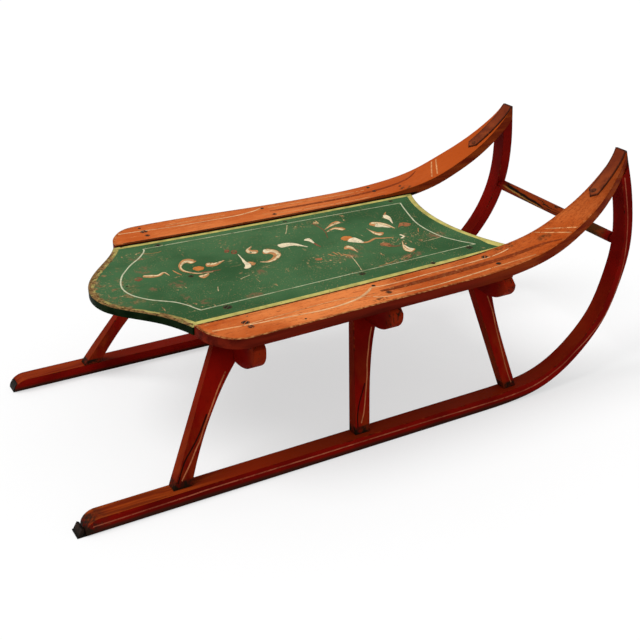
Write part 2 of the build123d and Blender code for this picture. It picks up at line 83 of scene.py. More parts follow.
class Paint:
    """One node material on the object's own coordinates, which are the part's coordinates."""

    def __init__(self, name):
        self.mat = bpy.data.materials.new(name)
        self.mat.use_nodes = True
        self.tree = self.mat.node_tree
        self.bsdf = self.tree.nodes["Principled BSDF"]
        self.at = self.add("ShaderNodeTexCoord").outputs["Object"]
        self.facing = self.add("ShaderNodeNewGeometry").outputs["Normal"]

    def add(self, kind):
        return self.tree.nodes.new(kind)

    def put(self, socket, value):
        if isinstance(value, (int, float)):
            socket.default_value = value
        elif isinstance(value, tuple):
            socket.default_value = value + (1.0,) if len(socket.default_value) == 4 else value
        else:
            self.tree.links.new(value, socket)

    def math(self, kind, a, b=0.5):
        node = self.add("ShaderNodeMath")
        node.operation = kind
        self.put(node.inputs[0], a)
        self.put(node.inputs[1], b)
        return node.outputs[0]

    def times(self, a, b):
        return self.math("MULTIPLY", a, b)

    def plus(self, a, b):
        return self.math("ADD", a, b)

    def minus(self, a, b):
        return self.math("SUBTRACT", a, b)

    def most(self, a, b):
        return self.math("MAXIMUM", a, b)

    def size(self, value):
        return self.math("ABSOLUTE", value)

    def split(self, vector):
        node = self.add("ShaderNodeSeparateXYZ")
        self.put(node.inputs[0], vector)
        return tuple(node.outputs)

    def step(self, value, low, high, out_low=0.0, out_high=1.0):
        """Smooth step from out_low at low to out_high at high."""
        node = self.add("ShaderNodeMapRange")
        node.interpolation_type = "SMOOTHSTEP"
        for socket, number in zip(node.inputs[1:5], (low, high, out_low, out_high)):
            socket.default_value = number
        self.put(node.inputs[0], value)
        return node.outputs[0]

    def mix(self, part, a, b, share=1.0):
        """Colour a, with colour b where part is 1, to the share given."""
        node = self.add("ShaderNodeMix")
        node.data_type = "RGBA"
        self.put(node.inputs[0], part if share == 1.0 else self.times(part, share))
        self.put(node.inputs[6], a)
        self.put(node.inputs[7], b)
        return node.outputs[2]

    def noise(self, scale, detail, stretch=(1, 1, 1), rough=0.55, shift=0.0, warp=0.0):
        place = self.add("ShaderNodeMapping")
        place.inputs["Scale"].default_value = stretch
        place.inputs["Location"].default_value = (shift, shift * 0.7, shift * 1.3)
        self.put(place.inputs["Vector"], self.at)
        node = self.add("ShaderNodeTexNoise")
        node.inputs["Scale"].default_value = scale
        node.inputs["Detail"].default_value = detail
        node.inputs["Roughness"].default_value = rough
        node.inputs["Distortion"].default_value = warp
        self.put(node.inputs["Vector"], place.outputs[0])
        return node.outputs[0]

    def spots(self, places):
        """1 inside any of the ellipses on the plan of the sled, each fading out at its rim."""
        at_x, at_y, _ = self.split(self.at)
        found = 0.0
        for x, y, wide, long in places:
            a = self.math("DIVIDE", self.minus(at_x, x), long)
            b = self.math("DIVIDE", self.minus(at_y, y), wide)
            found = self.most(found, self.step(self.plus(self.times(a, a), self.times(b, b)), 1.0, 0.25))
        return found

    def bevel(self, radius, samples):
        node = self.add("ShaderNodeBevel")
        node.samples = samples
        node.inputs[0].default_value = radius
        return node.outputs[0]

    def edge(self, radius):
        """1 where the surface turns a corner within the radius."""
        dot = self.add("ShaderNodeVectorMath")
        dot.operation = "DOT_PRODUCT"
        self.put(dot.inputs[0], self.bevel(radius, 6))
        self.put(dot.inputs[1], self.facing)
        return self.step(dot.outputs["Value"], 0.998, 0.93)

    def finish(self, colour, rough, height=None, relief=0.0004, metal=0.0, gloss=0.009):
        self.put(self.bsdf.inputs["Base Color"], colour)
        self.put(self.bsdf.inputs["Roughness"], rough)
        self.bsdf.inputs["Metallic"].default_value = metal
        self.bsdf.inputs["Specular IOR Level"].default_value = gloss
        if height is not None:
            bump = self.add("ShaderNodeBump")
            bump.inputs["Distance"].default_value = relief
            bump.inputs["Strength"].default_value = 1.0
            self.put(bump.inputs["Height"], height)
            self.put(bump.inputs["Normal"], self.bevel(0.0012, 4))
            self.put(self.bsdf.inputs["Normal"], bump.outputs[0])
        return self.mat


# ---------------------------------------------------------------- coats: each gives colour, roughness and height
def aged(p, base, deep, grain, chips, streaks, worn, worn_edge, edge, grease=GREASE, rubbed=(0.36, 0.50)):
    """Old brush paint on planed wood: mottled, streaked along the grain, chipped and rubbed at corners."""
    broad = p.noise(9, 3, shift=1.0)
    fibre = p.noise(230, 5, grain, 0.65, 2.0)
    coarse = p.noise(60, 4, grain, 0.6, 3.0)
    colour = p.mix(p.step(broad, 0.35, 0.7), base, deep)
    colour = p.mix(p.step(fibre, 0.52, 0.72), colour, deep, streaks)
    colour = p.mix(p.step(coarse, 0.55, 0.75), colour, deep, streaks)
    dust = p.noise(420, 6, rough=0.7, shift=4.0)
    # chips and rubbed places are drawn out less than the grain
    chip_grain, rub_grain = tuple(0.6 * s + 0.4 for s in grain), tuple(0.5 * s + 0.5 for s in grain)
    spots = p.times(p.step(p.noise(170, 8, chip_grain, 0.7, 5.0), *chips),
                    p.step(p.noise(14, 3, shift=6.0), 0.42, 0.58))
    rub = p.times(p.edge(edge), p.step(p.noise(75, 6, rub_grain, 0.7, 7.0), *rubbed))
    colour = p.mix(spots, colour, p.mix(p.step(dust, 0.4, 0.6), worn, WOOD_DARK))
    colour = p.mix(rub, colour, p.mix(p.step(p.noise(160, 5, shift=8.0), 0.42, 0.62), grease, worn_edge))
    bare = p.most(spots, rub)
    height = p.minus(p.times(fibre, 0.35), p.times(bare, 0.5))
    height = p.plus(height, p.times(dust, 0.10))
    rough = p.plus(p.step(broad, 0.3, 0.7, 0.36, 0.48), p.times(bare, 0.3))
    return colour, rough, height


# x, y, half width and half length of worn places, in metres
DECK_SCRATCHES = [
    (-0.230, -0.024, 0.012, 0.016), (-0.236, -0.082, 0.014, 0.018), (-0.226, -0.104, 0.008, 0.034),
    (-0.245, 0.122, 0.010, 0.026), (-0.110, 0.086, 0.020, 0.020), (-0.120, -0.030, 0.014, 0.012),
    (-0.068, -0.047, 0.008, 0.018), (0.000, -0.040, 0.030, 0.050), (0.030, 0.100, 0.016, 0.030),
    (0.080, -0.095, 0.014, 0.050), (0.010, -0.105, 0.010, 0.030), (0.150, -0.030, 0.030, 0.060)]
DECK_SMUDGES = [
    (-0.228, -0.010, 0.014, 0.016), (-0.235, -0.058, 0.020, 0.006), (-0.214, -0.086, 0.010, 0.016),
    (-0.264, -0.010, 0.012, 0.010), (-0.252, 0.060, 0.016, 0.018), (-0.240, 0.106, 0.010, 0.030),
    (-0.106, -0.034, 0.014, 0.008), (-0.150, -0.100, 0.010, 0.016), (0.056, -0.024, 0.014, 0.014),
    (0.030, -0.046, 0.012, 0.030), (0.118, -0.088, 0.010, 0.022), (0.190, -0.040, 0.014, 0.018)]
RAIL_KNOT = [(0.298, -0.168, 0.010, 0.013)]
RAIL_STAINS = [
    (0.045, -0.160, 0.006, 0.012), (0.238, -0.150, 0.010, 0.022), (0.250, 0.146, 0.010, 0.014),
    (-0.010, -0.206, 0.006, 0.014)]
REAR_RIM = -0.262  # x from where the deck's rear edge is worn


def green_coat(p):
    colour, rough, height = aged(p, GREEN, GREEN_DEEP, ALONG_X, chips=(0.66, 0.69), streaks=0.28,
                                 worn=WOOD, worn_edge=WOOD, edge=0.003)
    # scratches of riders' boots, in drifts
    across = p.step(p.noise(95, 7, (1, 0.22, 1), 0.72, 11.0, 0.6), 0.635, 0.66)
    along = p.step(p.noise(80, 7, (0.25, 1, 1), 0.72, 12.0, 0.6), 0.64, 0.665)
    fine = p.step(p.noise(330, 5, (0.8, 0.5, 1), 0.75, 13.0), 0.64, 0.67)
    drift = p.step(p.noise(22, 3, shift=14.0), 0.42, 0.58)
    scratch = p.times(p.most(p.most(across, along), fine), drift)
    gathered = p.times(p.spots(DECK_SCRATCHES), p.step(p.noise(200, 8, (1, 0.7, 1), 0.76, 18.0), 0.56, 0.61))
    speck = p.times(p.step(p.noise(430, 4, rough=0.7, shift=17.0), 0.615, 0.640),
                    p.step(p.noise(15, 3, shift=17.5), 0.38, 0.56))
    scratch = p.most(p.most(scratch, gathered), p.times(speck, 0.9))
    smudge = p.times(p.spots(DECK_SMUDGES), p.step(p.noise(110, 6, (1, 0.6, 1), 0.7, 18.5), 0.44, 0.60))
    colour = p.mix(smudge, colour, SMUDGE, 0.75)
    bare = p.mix(p.step(p.noise(260, 4, shift=15.0), 0.42, 0.58), SCRATCH_PALE, SCRATCH_BROWN)
    colour = p.mix(scratch, colour, bare)
    # bare, dirty wood round the rear edge, where the deck is grabbed
    rim = p.times(p.step(p.split(p.at)[0], REAR_RIM, -0.318), p.step(p.noise(75, 6, rough=0.7, shift=16.0), 0.50, 0.62))
    colour = p.mix(rim, colour, p.mix(p.step(p.noise(240, 4, shift=15.5), 0.4, 0.6), WOOD_DARK, WOOD), 0.75)
    # painted shade: the board's sides, picked by the way they face, are darkened to nearly black
    side_shade_tone = p.step(p.noise(45, 5, ALONG_X, 0.6, 19.0), 0.3, 0.7)
    colour = p.mix(p.step(p.split(p.facing)[2], 0.6, 0.3), colour, p.mix(side_shade_tone, GREEN_SIDE_SHADE_DARK, GREEN_SIDE_SHADE))
    height = p.minus(height, p.times(scratch, 0.4))
    return colour, p.plus(rough, p.times(scratch, 0.25)), height


def orange_coat(p):
    colour, rough, height = aged(p, ORANGE, ORANGE_DEEP, ALONG_X, chips=(0.655, 0.68), streaks=0.6,
                                 worn=WOOD, worn_edge=ORANGE_ARRIS, edge=0.0105, rubbed=(0.32, 0.44))
    x, y, z = p.split(p.at)
    _, sideways, up = p.split(p.facing)
    # deeper in the upsweep, browner toward the tips
    sweep = p.times(p.step(x, 0.00, 0.28), p.step(p.noise(24, 4, ALONG_X, 0.6, 20.0), 0.25, 0.7, 0.65, 1.0))
    colour = p.mix(sweep, colour, RAIL_SWEEP, 0.85)
    tip = p.times(p.step(x, 0.33, 0.455), p.step(p.noise(40, 5, shift=21.0), 0.2, 0.7, 0.5, 1.0))
    colour = p.mix(tip, colour, RAIL_TIP, 0.9)
    # dark pores and flecks along the grain
    pores = p.step(p.noise(230, 6, (0.14, 1, 1), 0.7, 23.0), 0.56, 0.66)
    colour = p.mix(pores, colour, RAIL_PORE, 0.75)
    flecks = p.step(p.noise(340, 5, (0.45, 1, 1), 0.75, 27.0), 0.55, 0.64)
    colour = p.mix(flecks, colour, RAIL_FLECK, 0.6)
    # grit rubbed into the upsweep, and a deeper tone on the left rail
    grit = p.step(p.noise(390, 5, (0.30, 1, 1), 0.75, 28.0), 0.48, 0.62)
    colour = p.mix(p.times(grit, p.step(x, 0.04, 0.24)), colour, RAIL_GRIT, 0.45)
    colour = p.mix(p.times(p.step(x, 0.14, 0.26), p.step(y, 0.0, 0.1, 0.0, 0.55)), colour, LEFT_SWEEP)
    colour = p.mix(p.step(y, 0.0, 0.1, 0.0, 0.40), colour, LEFT_RAIL)
    # sun-bleached grain behind the upsweep
    pale = p.times(p.step(p.noise(210, 6, (0.12, 1, 1), 0.7, 24.0), 0.58, 0.70), p.step(x, 0.30, 0.10))
    colour = p.mix(pale, colour, RAIL_PALE, 0.6)
    knot = p.times(p.spots(RAIL_KNOT), p.step(p.noise(160, 6, shift=25.0), 0.30, 0.60))
    stains = p.times(p.spots(RAIL_STAINS), p.step(p.noise(190, 6, shift=26.0), 0.48, 0.58))
    colour = p.mix(p.most(knot, stains), colour, RAIL_STAIN, 0.85)
    # the sides of the boards wear the red of the frame, browner in the upsweep, and are painted darker as shade below
    # the lit tops
    red = p.mix(p.step(p.noise(60, 5, ALONG_X, 0.6, 22.0), 0.35, 0.7), SHADED_SIDE_RED, SHADED_SIDE_RED_DARK)
    brown = p.mix(p.step(p.noise(90, 5, ALONG_X, 0.6, 29.0), 0.35, 0.65), SHADED_SIDE_BROWN, SHADED_SIDE_BROWN_DARK)
    red = p.mix(p.step(x, 0.12, 0.27, 0.0, 0.8), red, brown)
    # painted shade on their inner sides, below a painted highlight along the arris
    shaded_inner_side = p.times(p.step(p.times(y, sideways), 0.0, -0.05), p.step(x, 0.275, 0.265))
    red = p.mix(shaded_inner_side, red, p.mix(p.step(z, 0.2222, 0.2234), INNER_SIDE_SHADE, INNER_ARRIS_HIGHLIGHT))
    return p.mix(p.step(up, 0.62, 0.40), colour, red), rough, height


def red_coat(p, grain):
    return aged(p, RED, RED_DEEP, grain, chips=(0.67, 0.695), streaks=0.5, worn=RED_WORN, worn_edge=RED_ARRIS,
                edge=0.0038, grease=RED_GREASE, rubbed=(0.50, 0.62))


def runner_coat(p):
    colour, rough, height = red_coat(p, ALONG_X)
    x, y, z = p.split(p.at)
    facing = p.split(p.facing)
    # painted light: browner on the faces that look up and on the back of the curve, where the light falls, most on the
    # right runner
    top = p.most(p.step(facing[2], 0.55, 0.85), p.times(p.step(facing[0], -0.5, -0.85), p.step(x, 0.2, 0.3)))
    top = p.times(top, p.times(p.step(z, 0.17, 0.07), p.step(y, 0.05, -0.05, 0.45, 1.0)))
    mottle = p.step(p.noise(30, 5, ALONG_X, 0.6, 41.0), 0.3, 0.7, 0.35, 0.95)
    colour = p.mix(p.times(top, mottle), colour, RUNNER_TOP_LIT)
    # painted light on those faces toward the heel, in burnt orange streaks
    back = p.times(top, p.step(x, -0.22, -0.36))
    heel_light = p.mix(p.step(p.noise(120, 7, ALONG_X, 0.7, 44.0), 0.36, 0.60), RUNNER_HEEL_LIT, RUNNER_HEEL_LIT_DARK)
    colour = p.mix(p.times(back, p.step(p.noise(45, 5, ALONG_X, 0.6, 42.0), 0.2, 0.6, 0.35, 1.0)), colour, heel_light)
    # black grease and soot next to the steel and at the heels
    low = p.times(p.step(z, 0.0100, 0.0045), 0.85)
    heel = p.times(p.step(x, -0.416, -0.450), p.step(p.noise(90, 5, shift=43.0), 0.35, 0.6))
    return p.mix(p.most(low, heel), colour, SOOT), rough, height


def leg_coat(p):
    colour, rough, height = red_coat(p, ALONG_Z)
    z = p.split(p.at)[2]
    # painted light: burnt orange on the faces that look back, toward the light, in patches
    patch = p.step(p.noise(26, 5, ALONG_Z, 0.6, 31.0), 0.35, 0.75)
    lit_rear = p.step(p.split(p.facing)[0], -0.10, -0.35)
    colour = p.mix(p.times(lit_rear, p.plus(p.times(patch, 0.55), 0.35)), colour, LEG_REAR_LIT)
    # warmer low down, with a dark joint at the foot
    glow = p.times(p.step(z, 0.150, 0.050), p.step(p.noise(38, 5, (1, 1, 0.25), 0.6, 33.0), 0.40, 0.70))
    colour = p.mix(glow, colour, LEG_GLOW, 0.7)
    foot = p.times(p.step(z, 0.0315, 0.0280), p.step(p.noise(120, 5, shift=34.0), 0.35, 0.60, 0.4, 1.0))
    return p.mix(foot, colour, LEG_FOOT), rough, height


def bar_coat(p):
    colour, rough, height = red_coat(p, ALONG_Y)
    # the horns outside the rails are faded and cracked
    horn = p.step(p.size(p.split(p.at)[1]), 0.196, 0.214)
    colour = p.mix(p.times(horn, p.step(p.noise(55, 5, shift=51.0), 0.3, 0.65, 0.25, 0.9)), colour, HORN)
    cracks = p.times(p.step(p.noise(120, 6, (1, 0.5, 0.5), 0.7, 52.0, 1.2), 0.56, 0.62), horn)
    return p.mix(cracks, colour, HORN_CRACK), rough, p.minus(height, p.times(cracks, 0.4))


def rung_coat(p):
    colour, rough, height = red_coat(p, ALONG_Y)
    facing = p.split(p.facing)
    _, y, z = p.split(p.at)
    middle = p.step(p.size(y), 0.140, 0.120)
    rubbed = p.times(p.step(p.minus(facing[2], facing[0]), 0.2, 0.9),
                     p.step(p.noise(30, 5, (1, 0.3, 1), 0.65, 61.0), 0.35, 0.50))
    colour = p.mix(p.times(rubbed, middle), colour, RUNG_RUBBED, 0.8)
    cracks = p.step(p.noise(150, 6, (1, 0.12, 1), 0.7, 62.0, 0.8), 0.54, 0.60)
    colour = p.mix(p.times(cracks, middle), colour, RUNG_CRACK)
    # long slanting gouge with a pale lip, on the side that faces the rider
    slant = p.minus(p.math("DIVIDE", p.minus(z, 0.199), 0.0085), p.times(p.minus(y, 0.030), 8.0))
    slant = p.plus(slant, p.times(p.minus(p.noise(90, 4, (1, 0.4, 1), 0.6, 64.0), 0.5), 0.7))
    span = p.times(p.times(p.step(y, 0.010, 0.030), p.step(y, 0.140, 0.120)), p.step(facing[0], 0.2, 0.0))
    gouge = p.times(p.step(p.size(slant), 0.30, 0.10), span)
    lip = p.times(p.step(p.size(p.plus(slant, 0.40)), 0.16, 0.05), span)
    colour = p.mix(gouge, colour, GOUGE)
    colour = p.mix(lip, colour, GOUGE_LIP, 0.8)
    soiled = p.times(p.step(y, -0.045, -0.085), p.step(p.noise(60, 5, (1, 0.4, 1), 0.65, 65.0), 0.35, 0.55, 0.3, 0.95))
    colour = p.mix(p.times(soiled, middle), colour, RUNG_SOIL)
    return colour, p.plus(rough, p.times(rubbed, 0.12)), p.minus(height, p.times(gouge, 0.8))


def material(name, coat):
    p = Paint(name)
    return p.finish(*coat(p))


def steel(name):
    p = Paint(name)
    x, _, z = p.split(p.at)
    pits = p.noise(300, 6, rough=0.7, shift=71.0)
    colour = p.mix(p.step(p.noise(55, 5, (0.5, 1, 1), 0.65, 72.0), 0.50, 0.66), IRON, RUST)
    colour = p.mix(p.step(pits, 0.60, 0.72), colour, IRON_PIT)
    # the strap on the rail's tip is painted with the rail
    skin = p.mix(p.step(p.noise(60, 6, rough=0.65, shift=73.0), 0.36, 0.66), STRAP, STRAP_DARK)
    skin = p.mix(p.step(x, 0.40, 0.455), skin, STRAP_TIP, 0.75)
    skin = p.mix(p.edge(0.0045), skin, STRAP_EDGE, 0.92)
    skin = p.mix(p.step(pits, 0.62, 0.70), skin, STRAP_PIT, 0.6)
    strap = p.times(p.step(p.split(p.facing)[0], 0.2, -0.05), p.step(z, 0.235, 0.24))
    return p.finish(p.mix(strap, colour, skin), p.step(pits, 0.3, 0.7, 0.42, 0.68), pits, relief=0.0003, gloss=0.05)


def over(name, colour, coat_under, wear, strength=1.0, faded=0.0):
    """Brushed line or stroke that wears through to the coat beneath it."""
    p = Paint(name)
    base, rough, height = coat_under(p)
    hue = p.mix(p.step(p.noise(140, 5, shift=81.0), 0.35, 0.7), colour, tuple(0.72 * c for c in colour))
    kept = p.minus(strength, p.step(p.noise(210, 7, (0.6, 0.8, 1), 0.72, 82.0), *wear))
    if faded:
        kept = p.times(kept, p.step(p.noise(28, 3, shift=83.0), 0.35, 0.6, 1.0 - faded, 1.0))
    return p.finish(p.mix(p.most(kept, 0.0), base, hue), rough, height, relief=0.0003)


mats = {
    "deck": material("green_paint_worn", green_coat),
    "rail": material("orange_paint_worn", orange_coat),
    "runner": material("red_paint_runner", runner_coat),
    "crossbar": material("red_paint_crossbar", bar_coat),
    "leg": material("red_paint_leg", leg_coat),
    "rung": material("red_paint_rung", rung_coat),
    "shoe": steel("iron_shoe"),
}
for name, obj in nodes.items():
    obj.data.materials.clear()
    obj.data.materials.append(mats[name.split("_")[0]])


# ---------------------------------------------------------------- surfaces to lay things on
def tree_of(*names):
    merged = bmesh.new()
    for name in names:
        merged.from_mesh(nodes[name].data)
    tree = BVHTree.FromBMesh(merged)
    merged.free()
    return tree


trees = {
    "top": tree_of("deck", "rail_left", "rail_right"),
    "strap": tree_of("shoe_left", "shoe_right", "rail_left", "rail_right"),
    "sides": tree_of("runner_left", "runner_right"),
    "legs": tree_of(*[n for n in nodes if n.startswith("leg_")]),
}
RAY_START = 500  # mm from the middle plane or the ground
RAY_REACH = 0.48  # less than that distance, so that no ray comes out on the other side


def onto(tree, start, way):
    """Place and outward normal where a ray meets the surface, or None."""
    at, normal, _, _ = trees[tree].ray_cast(start, way, RAY_REACH)
    if at is None:
        return None
    return at, normal if normal.dot(way) < 0 else -normal


def smooth(points):
    """Catmull-Rom curve through rows of numbers, or a divided line between two."""
    rows = [Vector(p) for p in points]
    if len(rows) == 2:
        steps = 12
        return [rows[0].lerp(rows[1], i / steps) for i in range(steps + 1)]
    steps = 8
    ends = [rows[0] * 2 - rows[1]] + rows + [rows[-1] * 2 - rows[-2]]
    found = []
    for a, b, c, d in zip(ends, ends[1:], ends[2:], ends[3:]):
        for i in range(steps):
            t = i / steps
            found.append(0.5 * ((2 * b) + (c - a) * t + (2 * a - 5 * b + 4 * c - d) * t * t
                                + (3 * b - a - 3 * c + d) * t ** 3))
    return found + [rows[-1]]


def add_object(name, data):
    obj = bpy.data.objects.new(name, data)
    bpy.context.scene.collection.objects.link(obj)
    return obj


def add_piece(name, mesh):
    obj = add_object(name, mesh)
    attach(obj, "root")


class Skin:
    """Thin raised paint: closed strips gathered in one mesh, laid on the surface by rays."""

    ACROSS = (-1.0, -0.5, 0.0, 0.5, 1.0)  # places across a strip, in half widths
    NARROWEST = 0.5  # mm
    SUNK = 0.0002  # how far the underside lies below the surface
    RIM_SHARE = 0.35  # how high a strip's long edges stand, as a share of its middle

    def __init__(self, name, looks):
        self.name, self.looks = name, looks
        self.verts, self.faces, self.slots = [], [], []

    def strip(self, rows, slot=0, tree="top", way=(0, 0, -1), proud=0.00012):
        """One strip through rows of two place values and a width, all in mm, in the plane seen along the way."""
        way = Vector(way)
        path = self.rounded([Vector((a, b, max(wide, self.NARROWEST))) for a, b, wide in smooth(rows)])
        rings = []
        for i, here in enumerate(path):
            before, after = path[max(i - 1, 0)], path[min(i + 1, len(path) - 1)]
            along = Vector((after[0] - before[0], after[1] - before[1])).normalized()
            side = Vector((-along[1], along[0])) * here[2] / 2
            ring = []
            for part in self.ACROSS:
                flat = Vector((here[0], here[1])) + side * part
                if way.z:
                    start = Vector((flat[0], flat[1], RAY_START)) * MM
                else:
                    start = Vector((flat[0] * MM, 0, flat[1] * MM)) - way * RAY_START * MM
                ring.append(onto(tree, start, way))
            if None in ring:
                # past an edge, so the strip ends and may start again
                self.close(rings, slot, proud)
                rings = []
            else:
                rings.append(ring)
        self.close(rings, slot, proud)

    @staticmethod
    def rounded(path):
        """The path with a rounded cap at each end."""
        def cap(end, inner):
            way = Vector((end[0] - inner[0], end[1] - inner[1])).normalized()
            half = end[2] / 2
            rows = []
            for turn in (0.35, 0.65, 0.85, 0.97):
                reach = half * turn * 0.5
                rows.append(Vector((end[0] + way[0] * reach, end[1] + way[1] * reach,
                                    2 * half * math.sqrt(1 - turn * turn))))
            return rows
        return cap(path[0], path[1])[::-1] + path + cap(path[-1], path[-2])

    def close(self, rings, slot, proud):
        """Closed body from the rings of a strip."""
        if len(rings) < 2:
            return
        first, wide = len(self.verts), len(self.ACROSS)
        for ring in rings:
            for i, (at, normal) in enumerate(ring):
                rise = proud * (self.RIM_SHARE if i in (0, wide - 1) else 1.0)
                self.verts.append(at + normal * rise)
            for at, normal in ring:
                self.verts.append(at - normal * self.SUNK)
        step = 2 * wide
        for r in range(len(rings) - 1):
            a, b = first + r * step, first + (r + 1) * step
            for i in range(wide - 1):
                self.face((a + i, b + i, b + i + 1, a + i + 1), slot)
                self.face((a + wide + i, a + wide + i + 1, b + wide + i + 1, b + wide + i), slot)
            self.face((a, a + wide, b + wide, b), slot)
            self.face((a + wide - 1, b + wide - 1, b + 2 * wide - 1, a + 2 * wide - 1), slot)
        for base, flip in ((first, False), (first + (len(rings) - 1) * step, True)):
            for i in range(wide - 1):
                quad = (base + i, base + i + 1, base + wide + i + 1, base + wide + i)
                self.face(tuple(reversed(quad)) if flip else quad, slot)

    def face(self, corners, slot):
        self.faces.append(corners)
        self.slots.append(slot)

    def done(self):
        mesh = bpy.data.meshes.new(self.name)
        mesh.from_pydata([tuple(v) for v in self.verts], [], self.faces)
        for look in self.looks:
            mesh.materials.append(look)
        for polygon, slot in zip(mesh.polygons, self.slots):
            polygon.material_index = slot
            polygon.use_smooth = False
        body = bmesh.new()
        body.from_mesh(mesh)
        bmesh.ops.recalc_face_normals(body, faces=body.faces)
        body.to_mesh(mesh)
        body.free()
        mesh.update()
        add_piece(self.name, mesh)


# ---------------------------------------------------------------- painted decoration of the deck
on_green = {
    "cream": over("ornament_cream", CREAM, green_coat, (0.60, 0.68)),
    "salmon": over("ornament_salmon", SALMON, green_coat, (0.58, 0.66)),
    "orange": over("ornament_orange", AMBER, green_coat, (0.58, 0.66)),
    "brown": over("ornament_brown", UMBER, green_coat, (0.54, 0.62)),
    "clay": over("ornament_clay", CLAY, green_coat, (0.54, 0.64)),
    "pale": over("ornament_pale", PALE, green_coat, (0.55, 0.62)),
}
